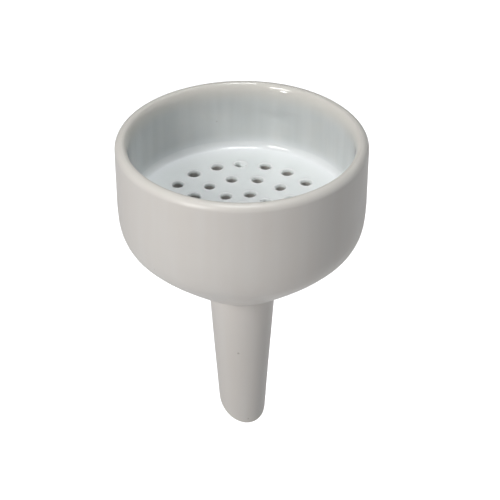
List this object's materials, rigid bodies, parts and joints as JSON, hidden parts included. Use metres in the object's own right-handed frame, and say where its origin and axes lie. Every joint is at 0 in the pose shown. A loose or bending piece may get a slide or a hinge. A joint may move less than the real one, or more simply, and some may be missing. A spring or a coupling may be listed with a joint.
{
  "type": "buchner funnel",
  "caption": "Glazed porcelain vacuum-filtration funnel: round cylindrical bowl with a fixed perforated filter plate, rounded shoulder and tapered stem with a slanted tip.",
  "frame": {"origin": "on the bowl's axis, at the level of the stem's lowest point", "axes": "+Z along the bowl's axis, from the stem's tip up to the rim; the stem's slanted tip is lowest towards +X -Y (60 degrees from +X)"},
  "size_m": [0.08, 0.08, 0.11],
  "materials": {
    "bowl_glaze": "glossy white porcelain glaze, satin outside",
    "plate_glaze": "glossy white porcelain glaze, slightly cool where it pools",
    "stem_glaze": "satin-glossy white porcelain glaze",
    "slip_glaze": "glossy glazed slip"
  },
  "bodies": {
    "root": {"bowl_shell": "bowl_glaze", "perforated_plate": "plate_glaze", "stem": "stem_glaze", "plate_luting_fillet": "slip_glaze", "plate_bedding_ring": "slip_glaze", "stem_luting": "slip_glaze"}
  },
  "joints": []
}
